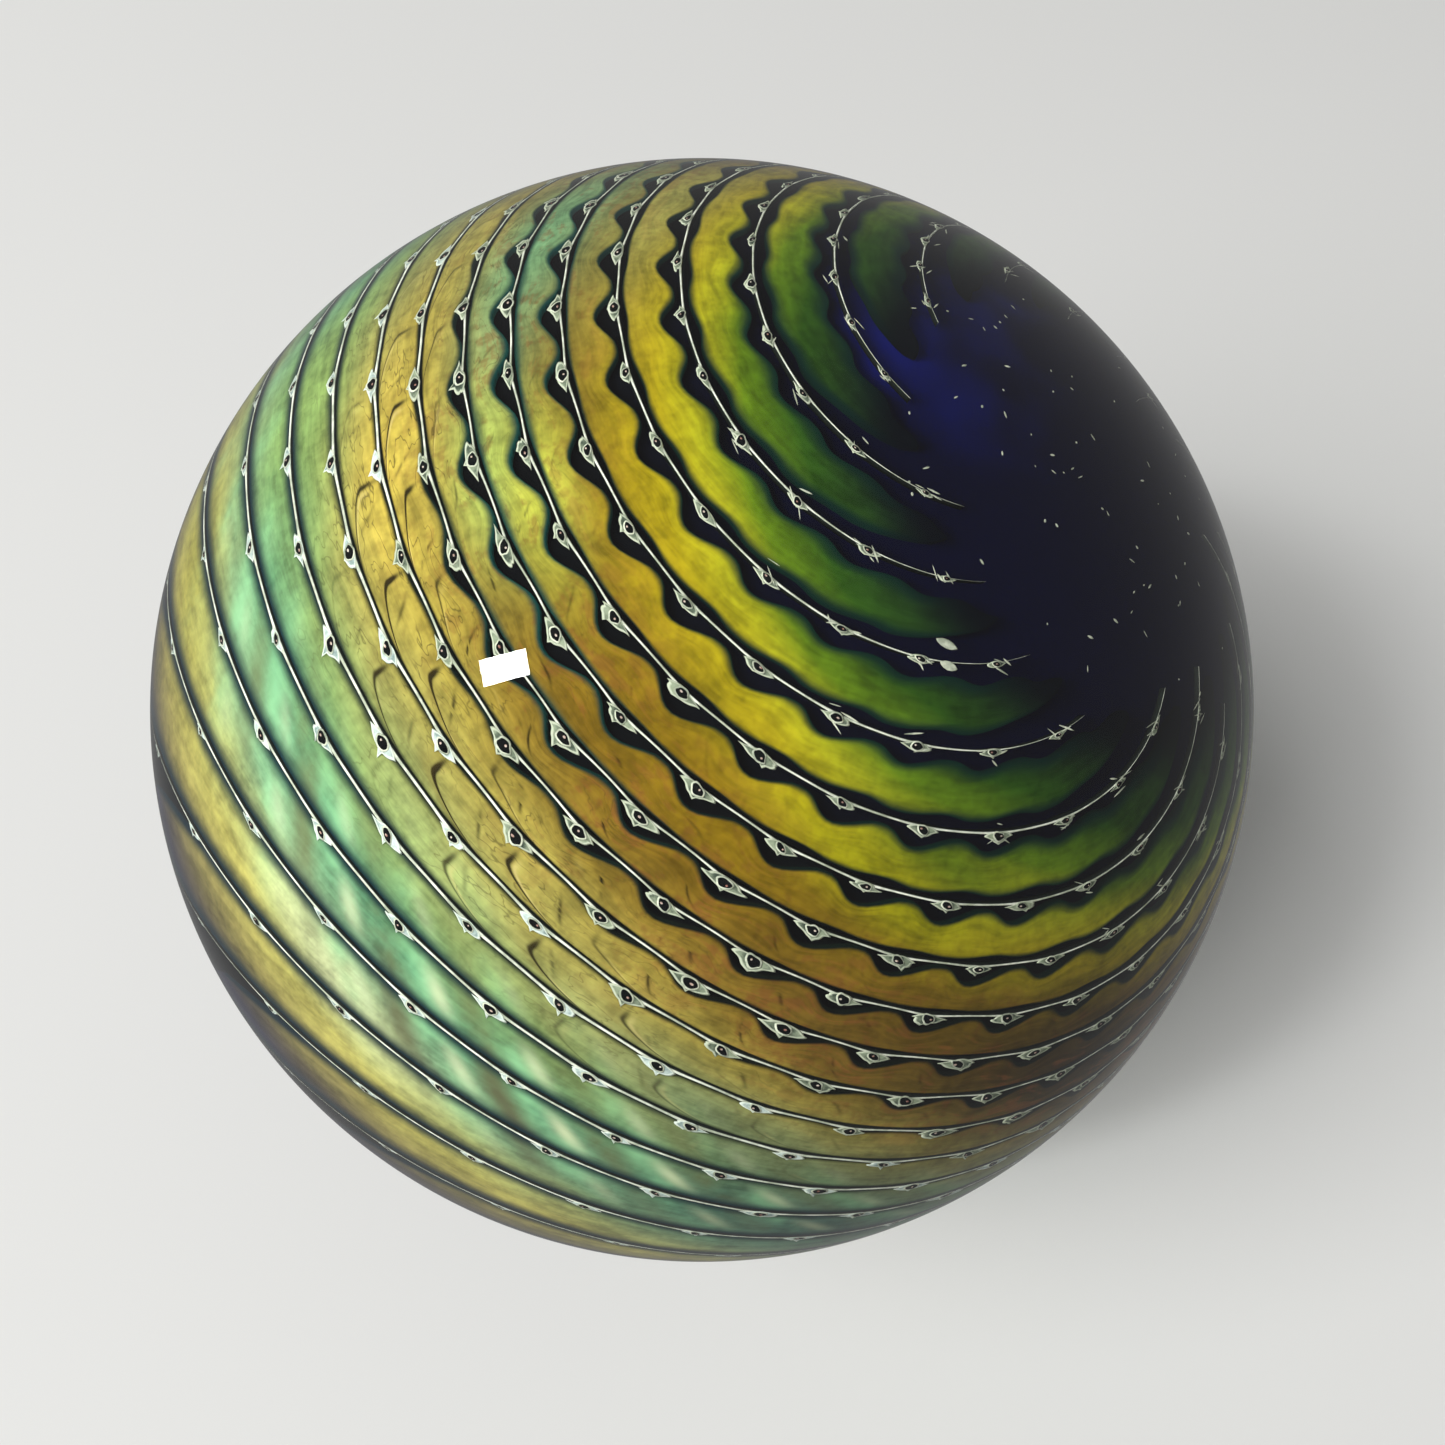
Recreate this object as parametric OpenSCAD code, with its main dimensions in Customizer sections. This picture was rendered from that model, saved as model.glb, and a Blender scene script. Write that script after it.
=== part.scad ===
// Glass marble: a cobalt ball wound with coloured ribbons and beaded silver
// threads, then cased in clear glass.  Millimetres, +Z up, origin at the
// centre of the ball.
//
// Places on the pattern are given as on a globe whose pole is the pole of the
// swirl: lat is the angle down from that pole and lon the angle round it.

/* [Ball] */
// Diameter of the finished ball
ball_d = 35; // [28:1:50]
// Thickness of the clear casing over the pattern
casing_t = 1.9; // [1:0.1:4]

/* [Pole of the swirl] */
// Tilt of the swirl's pole away from straight up
pole_tilt = 41; // [0:1:90]
// Direction that the pole leans to, round from +X
pole_turn = -7; // [-180:1:180]

/* [Swirl] */
// Number of ribbons, and of the threads between them
ribbons = 18; // [15:1:20]
// How far the ribbons wind round the ball, degrees round for each degree of the arctangent
winding = 2.43; // [2.1:0.01:2.6]
// Latitude at which the ribbons lie flattest round the ball
flat_lat = 64; // [58:1:70]
// Half the width of that flat stretch, in degrees of latitude
flat_reach = 32; // [28:1:38]
// Turn of the whole pattern about its pole
pattern_turn = -124; // [-180:1:180]
// Latitude at which the ribbons begin, round the bare cobalt cap
first_lat = 22; // [14:1:24]
// Latitude at which they end, round the cap at the far pole
last_lat = 119; // [112:1:123]

/* [Drift of the pattern by hand] */
// How far the ribbons bunch up on one side of the ball, degrees
bunch = 22; // [0:1:24]
// Longitude round which they bunch
bunch_lon = 50; // [-180:1:180]
// How far they bunch twice in each turn, degrees
twin_bunch = 6.8; // [0:0.1:7]
// Longitude of one of those two places
twin_bunch_lon = 118; // [-180:1:180]

/* [Ribbons] */
// Thickness of the coloured ribbons
ribbon_t = 0.5; // [0.45:0.05:0.9]
// Bare cobalt between a ribbon and the next thread, as a share of the pitch
near_gap = 0.12; // [0.12:0.01:0.16]
// Bare cobalt between a thread and its own ribbon, halfway from bead to bead
far_gap = 0.13; // [0.1:0.01:0.2]
// How much wider that gap grows at each bead, as a share of the pitch
scallop = 0.21; // [0.12:0.01:0.3]
// Width of a ribbon at its two ends, as a share of its full width
tip = 0.3; // [0.2:0.05:1]
// Length of the taper to the near pole, in degrees of latitude
near_taper = 20; // [5:1:25]
// Length of the taper to the far pole, in degrees of latitude
far_taper = 10; // [8:1:26]

/* [Threads] */
// Half the width of a thread, as a share of the pitch
thread_half = 0.03; // [0.02:0.005:0.04]
// How far a bead swells toward the ribbon before it, as a share of the pitch
bead_near = 0.07; // [0.05:0.01:0.08]
// How far it swells toward its own ribbon, as a share of the pitch
bead_far = 0.16; // [0.1:0.01:0.17]
// Beads in one whole turn round the ball
beads_round = 36; // [32:1:40]
// How far the rows of beads lean back, degrees round for each degree of latitude
bead_lean = 0.2; // [0:0.05:0.4]

/* [Colours] */
// Latitude at which the ribbons turn from green to yellow
yellow_lat = 34; // [30:1:36]
// Latitude at which they turn from yellow to amber
amber_lat = 43; // [38:1:48]
// Latitude at which they turn from amber to teal
teal_lat = 67; // [60:1:74]
// Latitude at which they turn from teal to ochre
ochre_lat = 94; // [86:1:104]

/* [Hidden] */

ball_r = ball_d / 2;
inlay_r = ball_r - casing_t;         // inside of the casing
core_r = inlay_r - ribbon_t;
seam = 0.06;                         // keeps flat facets clear of the round glass
pitch = 360 / ribbons;
settle = 14;                         // passes in which the drift settles
halvings = 20;
aside = 0.1;                         // step to each side that measures the pitch at a place, in pitches
$fn = 180;

// Longitude of thread u (whole at a thread, fractions between two) at latitude lat.
// The drift moves each place by a little that depends on where it ends up.
function drift(lon) = bunch * cos(lon - bunch_lon) + twin_bunch * cos(2 * (lon - twin_bunch_lon));
function drifted(even, lon, turns) = turns <= 0 ? lon : drifted(even, even + drift(lon), turns - 1);
function lon_of(u, lat) =
    let (even = u * pitch - winding * atan((lat - flat_lat) / flat_reach))
    drifted(even, even, settle);

function on_globe(lat, lon) = [sin(lat) * cos(lon), sin(lat) * sin(lon), cos(lat)];
function place(u, lat) = on_globe(lat, lon_of(u, lat));

// Beads counted along thread u: whole at a bead, and falling as lat grows
function bead_count(u, lat) = (lon_of(u, lat) + bead_lean * (lat - flat_lat)) * beads_round / 360;

// Latitude at which that count is n, found by halving the stretch that holds it
function bead_lat(u, n, low = 0, high = 180, turns = halvings) =
    let (mid = (low + high) / 2)
    turns <= 0 ? mid
    : bead_count(u, mid) > n ? bead_lat(u, n, mid, high, turns - 1)
    : bead_lat(u, n, low, mid, turns - 1);

// Radius at which a flat or an edge clears the core, where its ends are no more than a
// chord apart on a globe of radius 1
function clear_of_core(chord) = (core_r + seam) / sqrt(1 - chord * chord / 3);

// Bead places along line u, from the near pole down
function bead_places(u) = [floor(bead_count(u, first_lat)) : -1 : ceil(bead_count(u, last_lat))];

// Left and right edge of ribbon k, straight across it at bead place n, with its scallop
// open from 0 to 1
function fullness(lat) =
    let (way_in = min((lat - first_lat) / near_taper, (last_lat - lat) / far_taper))
    min(1, tip + (1 - tip) * max(0, way_in));
function ribbon_edges(k, n, open) =
    let (left = k + far_gap + scallop * open, right = k + 1 - near_gap,
         mid = (left + right) / 2, half = fullness(bead_lat(mid, n)) * (right - left) / 2)
    [for (u = [mid - half, mid + half]) place(u, bead_lat(u, n))];

// The part of ribbon k between two latitudes, to the nearest bead: a flat strip with
// a point on its left edge at each bead and one halfway, and on its right at each bead.
// It has twice as many past ochre_lat, where the bead places lie far apart.  Each point
// of its underside is lifted by as much as the flats that meet there sink.
module ribbon(k, from_lat, to_lat) {
    high = inlay_r - seam;
    places = [for (n = bead_places(k + 0.5)) each (bead_lat(k + 0.5, n) < ochre_lat ? [n] : [n, n - 0.5])];
    lats = [for (n = places) bead_lat(k + 0.5, n)];
    first = len([for (lat = lats) if (lat < from_lat) lat]);
    last = min(len([for (lat = lats) if (lat < to_lat) lat]), len(places) - 1) - first;
    edges = [for (i = [first : first + last]) ribbon_edges(k, places[i], places[i] == floor(places[i]) ? 1 : 0)];
    between = [for (i = [first : first + last - 1]) ribbon_edges(k, (places[i] + places[i + 1]) / 2, 0)[0]];
    lows = [
        for (i = [0 : last - 1])
            let (a = edges[i], b = edges[i + 1], m = between[i])
            clear_of_core(max([for (side = [a[0] - a[1], a[0] - m, a[1] - m, b[0] - b[1], b[0] - m, b[1] - m, a[1] - b[1]])
                               norm(side)]))
    ];
    points = [
        for (i = [0 : last])
            let (low = max(lows[max(i - 1, 0)], lows[min(i, last - 1)]))
            each [low * edges[i][0], high * edges[i][0], high * edges[i][1], low * edges[i][1]],
        for (i = [0 : last - 1]) each [lows[i] * between[i], high * between[i]]
    ];
    faces = [
        [3, 2, 1, 0],
        for (i = [0 : last - 1])
            let (a = 4 * i, b = a + 4, m = 4 * (last + 1) + 2 * i)
            each [
                [a, a + 1, m + 1], [a, m + 1, m], [m, m + 1, b + 1], [m, b + 1, b],
                [a + 1, a + 2, m + 1], [m + 1, a + 2, b + 2], [m + 1, b + 2, b + 1],
                [a + 2, a + 3, b + 3], [a + 2, b + 3, b + 2],
                [a + 3, a, m], [a + 3, m, b + 3], [m, b, b + 3]
            ],
        [for (j = [0 : 3]) 4 * last + j]
    ];
    if (last > 0) polyhedron(points, faces);
}
module ribbon_lengths(from_lat, to_lat) for (k = [0 : ribbons - 1]) ribbon(k, from_lat, to_lat);

// Thread k is a wedge with its broad side under the casing and its keel down on the
// core; it swells from its plain width to a bead and back.  Its widths go by the
// width of one pitch there, taken square across the thread.
module thread(k) {
    places = [for (n = bead_places(k)) n];
    line = [
        [bead_lat(k, places[0] + 0.5), false],
        for (n = places, step = [0, 0.5]) [bead_lat(k, n - step), step == 0]
    ];
    middle = [for (stop = line) place(k, stop[0])];
    last = len(line) - 1;
    rings = [
        for (i = [0 : last])
            let (along = middle[min(i + 1, last)] - middle[max(i - 1, 0)],
                 across = cross(middle[i], along) / norm(cross(middle[i], along)),
                 apart = (place(k + aside, line[i][0]) - place(k - aside, line[i][0])) / (2 * aside),
                 width = inlay_r * (apart * across) * across,
                 low = clear_of_core(max([for (j = [max(i, 1) : min(i + 1, last)]) norm(middle[j] - middle[j - 1])])),
                 outer = (inlay_r - seam) * middle[i])
            [outer + width * (line[i][1] ? bead_far : thread_half),
             outer - width * (line[i][1] ? bead_near : thread_half),
             low * middle[i]]
    ];
    faces = [
        [2, 1, 0],
        for (i = [0 : last - 1], j = [0 : 2])
            let (a = 3 * i + j, b = 3 * i + (j + 1) % 3)
            each [[a, b, b + 3], [a, b + 3, a + 3]],
        [for (j = [0 : 2]) 3 * last + j]
    ];
    polyhedron([for (ring = rings) each ring], faces);
}

// Turns the pattern about its pole, and its pole from straight up to where it leans
module posed() rotate([0, pole_tilt, pole_turn]) rotate([0, 0, pattern_turn]) children();

module clear_casing() color([0.93, 0.96, 0.95, 0.3]) difference() {
    sphere(ball_r);
    sphere(inlay_r);
}
module cobalt_core() color([0.03, 0.04, 0.28]) sphere(core_r);
module green_ribbons() color([0.18, 0.5, 0.12]) posed() ribbon_lengths(first_lat, yellow_lat);
module yellow_ribbons() color([0.78, 0.72, 0.08]) posed() ribbon_lengths(yellow_lat, amber_lat);
module amber_ribbons() color([0.62, 0.42, 0.07]) posed() ribbon_lengths(amber_lat, teal_lat);
module teal_ribbons() color([0.16, 0.5, 0.42]) posed() ribbon_lengths(teal_lat, ochre_lat);
module ochre_ribbons() color([0.6, 0.56, 0.22]) posed() ribbon_lengths(ochre_lat, last_lat);
module silver_threads() color([0.82, 0.86, 0.82]) posed() for (k = [0 : ribbons - 1]) thread(k);

clear_casing();
cobalt_core();
green_ribbons();
yellow_ribbons();
amber_ribbons();
teal_ribbons();
ochre_ribbons();
silver_threads();
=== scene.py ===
# %% [markdown]
# # A glass marble wound with ribbons of coloured glass
#
# The real thing is a ball of clear glass, as wide as a large walnut, that lies on a table.
# Inside it, a ball of cobalt glass is wound with coloured ribbons and with silver threads that
# hold one row of trapped beads each. A shell of clear glass over the pattern magnifies it.
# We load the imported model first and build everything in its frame, in metres.

# %% Load the fixed frame
import math

import bpy
import numpy as np
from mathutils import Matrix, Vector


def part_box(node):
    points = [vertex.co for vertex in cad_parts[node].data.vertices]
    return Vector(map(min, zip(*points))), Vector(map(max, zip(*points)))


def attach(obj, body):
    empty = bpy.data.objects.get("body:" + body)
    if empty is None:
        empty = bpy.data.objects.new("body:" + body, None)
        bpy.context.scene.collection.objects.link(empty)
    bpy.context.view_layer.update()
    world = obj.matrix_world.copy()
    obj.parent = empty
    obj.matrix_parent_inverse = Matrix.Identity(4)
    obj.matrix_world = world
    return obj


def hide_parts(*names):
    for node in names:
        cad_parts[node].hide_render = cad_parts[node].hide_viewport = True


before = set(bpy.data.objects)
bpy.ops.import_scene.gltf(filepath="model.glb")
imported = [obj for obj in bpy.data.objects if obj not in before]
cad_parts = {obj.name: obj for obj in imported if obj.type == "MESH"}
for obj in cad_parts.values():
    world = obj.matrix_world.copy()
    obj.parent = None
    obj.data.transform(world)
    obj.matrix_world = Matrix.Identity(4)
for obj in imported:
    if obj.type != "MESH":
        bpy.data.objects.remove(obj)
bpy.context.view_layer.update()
print("nodes:", sorted(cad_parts))

# %% [markdown]
# The ball's radii come from the frame's own boxes, so this script follows the part if its size
# changes. The rest are the pattern's own numbers, the same that the part's source names: how many
# ribbons there are, how the swirl's pole leans, how hard the ribbons wind and where they bunch.

# %% Sizes and the numbers of the swirl
MM = 0.001
casing_low, casing_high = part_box("clear_casing")
core_low, core_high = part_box("cobalt_core")
ball_r = (casing_high[2] - casing_low[2]) / 2
core_r = (core_high[2] - core_low[2]) / 2
CASING_THICK = 1.9 * MM
inlay_r = ball_r - CASING_THICK

RIBBONS = 18
PITCH = 360 / RIBBONS
POLE_TILT, POLE_TURN, PATTERN_TURN = 41, -7, -124
WINDING, FLAT_LAT, FLAT_REACH = 2.43, 64, 32
BUNCH, BUNCH_LON, TWIN_BUNCH, TWIN_BUNCH_LON = 22, 50, 6.8, 118
FIRST_LAT, LAST_LAT = 22, 119
BEADS_ROUND, BEAD_LEAN = 36, 0.2
print(f"ball {ball_r / MM:.2f} mm, inlay {inlay_r / MM:.2f} mm, core {core_r / MM:.2f} mm in radius")

# %% [markdown]
# The pattern is laid out on a globe whose pole is the pole of the swirl: `lat` is the angle down
# from that pole and `lon` the angle round it. Thread `u` is whole at a thread and fractional
# between two. `beads` counts the trapped beads along a thread. Both are smooth functions of the
# place on the globe, so one formula lays every ribbon, thread and bead.


# %% The pattern's globe
def cosd(angle):
    return np.cos(np.radians(angle))


def sind(angle):
    return np.sin(np.radians(angle))


def drift(lon):
    """How far the maker's hand pushed a place round the ball, in degrees."""
    return BUNCH * cosd(lon - BUNCH_LON) + TWIN_BUNCH * cosd(2 * (lon - TWIN_BUNCH_LON))


def thread_at(lat, lon):
    """The thread number of a place: the inverse of laying thread u."""
    return (lon - drift(lon) + WINDING * np.degrees(np.arctan((lat - FLAT_LAT) / FLAT_REACH))) / PITCH


def bead_row_lon(beads, lat):
    """Where the row of beads with that count stands at a latitude. The rows lean a little."""
    return 360 / BEADS_ROUND * beads - BEAD_LEAN * (lat - FLAT_LAT)


# How far the beads of each thread in turn are shifted along it, in parts of their spacing.
BEAD_SHIFT = [0.60, 0.43, 0.25, 0.07, -0.15, -0.24, -0.28, -0.30, -0.30, -0.30,
              -0.32, -0.34, -0.28, -0.20, -0.22, -0.18, -0.16, -0.25, -0.40]
HALVINGS = 40


def lat_lon(u, beads):
    """Where thread u crosses the row of beads with that count, by halving the latitudes."""
    u, beads = np.broadcast_arrays(np.asarray(u, float), np.asarray(beads, float))
    beads = beads + np.interp(u, range(len(BEAD_SHIFT)), BEAD_SHIFT)
    low, high = np.zeros(u.shape), np.full(u.shape, 180.0)
    for _ in range(HALVINGS):
        mid = (low + high) / 2
        below = thread_at(mid, bead_row_lon(beads, mid)) < u
        low, high = np.where(below, mid, low), np.where(below, high, mid)
    return mid, bead_row_lon(beads, mid)


print("thread 0 crosses bead row 0 at latitude", round(float(lat_lon(0, 0)[0]), 1))


# %% The globe's lean in the frame
def turned(axis, angle):
    """A rotation matrix about Y or Z."""
    c, s = cosd(angle), sind(angle)
    if axis == "Y":
        return np.array([[c, 0, s], [0, 1, 0], [-s, 0, c]])
    return np.array([[c, -s, 0], [s, c, 0], [0, 0, 1]])


POSE = turned("Z", POLE_TURN) @ turned("Y", POLE_TILT) @ turned("Z", PATTERN_TURN)


def on_ball(lat, lon):
    """Unit vectors in the row frame, for places on the pattern's globe."""
    return np.stack([sind(lat) * cosd(lon), sind(lat) * sind(lon), cosd(lat)], axis=-1) @ POSE.T


def place(u, beads):
    """The unit vector to a place given by its thread and its bead count."""
    return on_ball(*lat_lon(u, beads))


print("the swirl's pole points to", np.round(POSE[:, 2], 3))

# %% [markdown]
# Shader maths reads best as arithmetic. `Value` wraps the output of a node, and adding or
# multiplying values adds Math nodes. `Sheet` is one material's node sheet, and its `node` method
# makes any node from its type, its settings and what goes into its sockets. Two small functions of
# a value do most of the drawing: `between` is a soft step and `bell` a soft bump.


# %% Shader arithmetic
class Value:
    """A node's output that takes part in sums."""

    def __init__(self, sheet, socket):
        self.sheet, self.socket = sheet, socket

    def math(self, operation, *terms):
        return self.sheet.node("ShaderNodeMath", {"operation": operation}, dict(enumerate(terms)))

    def __add__(self, other):
        return self.math("ADD", self, other)

    def __sub__(self, other):
        return self.math("SUBTRACT", self, other)

    def __rsub__(self, other):
        return self.math("SUBTRACT", other, self)

    def __mul__(self, other):
        return self.math("MULTIPLY", self, other)

    def __truediv__(self, other):
        return self.math("DIVIDE", self, other)

    __radd__, __rmul__ = __add__, __mul__

    def between(self, low, high):
        """0 below low, 1 above high, and smooth between them; the other way if low > high."""
        return self.sheet.node(
            "ShaderNodeMapRange",
            {"interpolation_type": "SMOOTHSTEP"},
            {"Value": self, "From Min": low, "From Max": high},
        )

    def bell(self, middle, reach):
        """1 at middle, falling off smoothly to both sides."""
        off = (self - middle) / reach
        return self.math("EXPONENT", off * off * -1)

    def fraction(self):
        """What is left of a count past its last whole number."""
        return self.math("FRACT", self)


print("values can be added, stepped and belled")


# %% Node sheets
class Sheet:
    """The node sheet of one material."""

    def __init__(self, name):
        self.material = bpy.data.materials.new(name)
        self.material.use_nodes = True
        self.tree = self.material.node_tree
        self.tree.nodes.clear()

    def node(self, kind, settings=None, sockets=None, out=0):
        """Any node, set up and linked, as the Value of one of its outputs."""
        made = self.tree.nodes.new(kind)
        for key, value in (settings or {}).items():
            if key == "stops":
                ramp = made.color_ramp
                while len(ramp.elements) < len(value):
                    ramp.elements.new(1.0)
                for element, (at, colour) in zip(ramp.elements, value):
                    element.position, element.color = at, colour
            else:
                setattr(made, key, value)
        for key, value in (sockets or {}).items():
            if isinstance(value, Value):
                self.tree.links.new(value.socket, made.inputs[key])
            else:
                made.inputs[key].default_value = value
        return Value(self, made.outputs[out])

    def attribute(self, name):
        """A number that is stored at each point of the mesh."""
        return self.node("ShaderNodeAttribute", {"attribute_name": name}, out="Fac")

    def spot(self):
        """The place on the piece, in metres from the middle of the ball."""
        return self.node("ShaderNodeTexCoord", out="Object")

    def vector(self, x, y, z):
        return self.node("ShaderNodeCombineXYZ", sockets={0: x, 1: y, 2: z})

    def noise(self, vector, scale, detail=3.0, rough=0.55):
        sockets = {"Vector": vector, "Scale": scale, "Detail": detail, "Roughness": rough}
        return self.node("ShaderNodeTexNoise", sockets=sockets)

    def blend(self, amount, first, second):
        """A colour between two, by a Mix node."""
        settings = {"data_type": "RGBA", "clamp_factor": True}
        return self.node("ShaderNodeMix", settings, {0: amount, 6: first, 7: second}, out=2)

    def toned(self, colour, brightness):
        """A colour made lighter or darker by a value, by Vector Math."""
        sockets = {0: colour, "Scale": brightness}
        return self.node("ShaderNodeVectorMath", {"operation": "SCALE"}, sockets)

    def finish(self, surface):
        """The material, with that shader as its surface."""
        output = self.tree.nodes.new("ShaderNodeOutputMaterial")
        self.tree.links.new(surface.socket, output.inputs["Surface"])
        return self.material

    def sunk_glass(self, colour, rough):
        """Coloured glass inside the ball. It has no highlight of its own: the casing makes those."""
        sockets = {"Base Color": colour, "Roughness": rough, "Specular IOR Level": 0.0}
        return self.finish(self.node("ShaderNodeBsdfPrincipled", sockets=sockets))


def glass_colour(red, green, blue):
    """A colour as a screen shows it, 0 to 255, as the linear colour that shaders take."""
    shown = [c / 255 for c in (red, green, blue)]
    return tuple(((c + 0.055) / 1.055) ** 2.4 if c > 0.04 else c / 12.92 for c in shown) + (1.0,)


print("shader helpers ready")

# %% [markdown]
# Meshes are made from arrays of points. A small helper turns points and faces into a piece that
# rides on the ball's one body. The shaders read what the helper stores at each point, such as its
# latitude, because these numbers are known exactly when the mesh is made.


# %% Mesh helper
def make_piece(name, points, faces, material, replaced=(), facts=None, normals=None):
    """Makes a piece of the marble, with facts stored at its points and perhaps its own normals."""
    mesh = bpy.data.meshes.new(name)
    mesh.from_pydata(np.asarray(points).tolist(), [], faces)
    for key, values in (facts or {}).items():
        stored = mesh.attributes.new(key, "FLOAT", "POINT")
        stored.data.foreach_set("value", np.asarray(values, np.float32))
    mesh.update()
    mesh.materials.append(material)
    mesh.polygons.foreach_set("use_smooth", [True] * len(mesh.polygons))
    if normals is not None:
        mesh.normals_split_custom_set_from_vertices(np.asarray(normals).tolist())
    piece = bpy.data.objects.new(name, mesh)
    bpy.context.scene.collection.objects.link(piece)
    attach(piece, "root")
    if replaced:
        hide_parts(*replaced)
    print(f"{name}: {len(mesh.polygons)} faces")


# %% Long strips and hairs
def tube_faces(start, rows, size, inside_out=False):
    """Faces of a closed tube: rings of `size` points from `start` on, with a lid at each end.

    The faces of ribbons and threads look outward, and inward with inside_out.
    """
    faces = []
    for a in range(start, start + (rows - 1) * size, size):
        for j in range(size):
            k = (j + 1) % size
            faces.append((a + j, a + size + j, a + size + k, a + k))
    faces.append(tuple(start + j for j in range(size)))
    faces.append(tuple(start + (rows - 1) * size + j for j in reversed(range(size))))
    return [face[:1] + face[:0:-1] for face in faces] if inside_out else faces


print("mesh helpers ready")

# %% [markdown]
# ## The camera and the stage
#
# The ball is seen from above at 55 degrees and from close by, as one looks at a marble in the hand.
# The floor is plain and pale and touches the ball at its lowest point. A camera is an object whose
# -Z axis looks ahead, so we aim it with `to_track_quat`. The lens follows from how much of the
# frame's half width the ball's outline is to fill. A pale floor mirrored in the glass would wash
# out the colours towards the ball's edge, so the floor is hidden from glossy rays, as a polarising
# filter would do in a studio. It still lights the ball and takes its shadow.

# %% Camera
from mathutils import Quaternion, Vector

VIEW_UP = math.radians(55)
VIEW_DISTANCE = 3 * ball_r
BALL_FILLS = 0.764
SENSOR = 36
camera_data = bpy.data.cameras.new("camera")
camera_data.sensor_width = SENSOR
camera_data.lens = SENSOR / 2 * BALL_FILLS / math.tan(math.asin(ball_r / VIEW_DISTANCE))
# The ball lies a little off the middle of the frame.
camera_data.shift_x, camera_data.shift_y = 0.0142, -0.0087
camera_data.clip_start, camera_data.clip_end = 0.005, 10
camera = bpy.data.objects.new("camera", camera_data)
camera.location = Vector((0, -math.cos(VIEW_UP), math.sin(VIEW_UP))) * VIEW_DISTANCE
camera.rotation_euler = (-camera.location).to_track_quat("-Z", "Y").to_euler()
bpy.context.scene.collection.objects.link(camera)
bpy.context.scene.camera = camera
bpy.context.scene.view_settings.view_transform = "Standard"
print(f"camera {camera.location.length / MM:.1f} mm away, lens {camera_data.lens:.1f} mm")

# %% Floor
FLOOR_HALF = 1.5
floor_sheet = Sheet("pale_floor")
floor_spots = floor_sheet.noise(floor_sheet.spot(), 6.0)
floor_colour = floor_sheet.blend(floor_spots, glass_colour(226, 226, 223), glass_colour(232, 232, 230))
floor_look = {"Base Color": floor_colour, "Roughness": 0.7}
floor_material = floor_sheet.finish(floor_sheet.node("ShaderNodeBsdfPrincipled", sockets=floor_look))
floor_mesh = bpy.data.meshes.new("floor")
corners = [(x * FLOOR_HALF, y * FLOOR_HALF, -ball_r) for x, y in ((-1, -1), (1, -1), (1, 1), (-1, 1))]
floor_mesh.from_pydata(corners, [], [(0, 1, 2, 3)])
floor_mesh.materials.append(floor_material)
floor = bpy.data.objects.new("floor", floor_mesh)
bpy.context.scene.collection.objects.link(floor)
floor.visible_glossy = False
print(f"floor {ball_r / MM:.2f} mm under the ball's middle")

# %% [markdown]
# A small oblong lamp on the left gives the one crisp highlight on the glass. A broad soft lamp on
# nearly the same side lights the pattern and leaves the right flank in gentle shade, which the pale
# surroundings fill. Each lamp is an area light aimed at the ball, and may be rolled about the way it
# looks. The broad one isn't mirrored in the glass, so that the pattern stays clear to see.


# %% Lamps
def area_lamp(name, direction, distance, width, height, power, roll=0, shows_in_glass=True):
    """A rectangular lamp that faces the ball from that direction, rolled by some degrees."""
    data = bpy.data.lights.new(name, "AREA")
    data.shape, data.size, data.size_y, data.energy = "RECTANGLE", width, height, power
    lamp = bpy.data.objects.new(name, data)
    lamp.location = Vector(direction).normalized() * distance
    aim = (-lamp.location).to_track_quat("-Z", "Y") @ Quaternion((0, 0, 1), math.radians(roll))
    lamp.rotation_euler = aim.to_euler()
    lamp.visible_glossy = shows_in_glass
    bpy.context.scene.collection.objects.link(lamp)


area_lamp("oblong_lamp", (-0.591, -0.353, 0.725), 0.515, 0.082, 0.042, 0.6, roll=60)
area_lamp("soft_lamp", (-0.64, -0.34, 0.69), 0.7, 0.5, 0.5, 5.2, shows_in_glass=False)

ROOM_GLOW = 0.2
world = bpy.data.worlds.new("pale_room")
bpy.context.scene.world = world
world.use_nodes = True
background = world.node_tree.nodes["Background"]
background.inputs["Color"].default_value = (1, 1, 1, 1)
background.inputs["Strength"].default_value = ROOM_GLOW

# %% [markdown]
# ## The coloured glasses
#
# On the real ball the ribbons run on unbroken from the near pole, and only their colour changes:
# green by the pole, then yellow, amber, a band of ochre, teal and pale ochre, with softer patches
# of other colours where two rods of glass ran together. So one material serves all ribbons. A
# colour ramp over the latitude gives the zones, and a few soft bell-shaped fields lay the patches
# over it. Two patches on the right flank, the brown edge and the deep teal, are partly painted
# shade: they darken that flank beyond the glass's own colour.

# %% Zones of colour down the ribbons, by latitude
LAT_SPAN = 130
ZONES = [
    (20, (6, 14, 26)),
    (27, (24, 46, 24)),
    (33, (44, 78, 18)),
    (38, (92, 120, 20)),
    (42, (166, 162, 28)),
    (46, (164, 146, 20)),
    (52, (124, 100, 20)),
    (58, (118, 92, 22)),
    (63, (136, 112, 38)),
    (68, (158, 142, 62)),
    (74, (144, 144, 82)),
    (79, (122, 148, 88)),
    (85, (96, 152, 112)),
    (91, (124, 164, 122)),
    (96, (168, 174, 106)),
    (101, (176, 168, 88)),
    (107, (140, 130, 74)),
    (113, (88, 80, 60)),
    (119, (44, 42, 62)),
]
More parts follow.
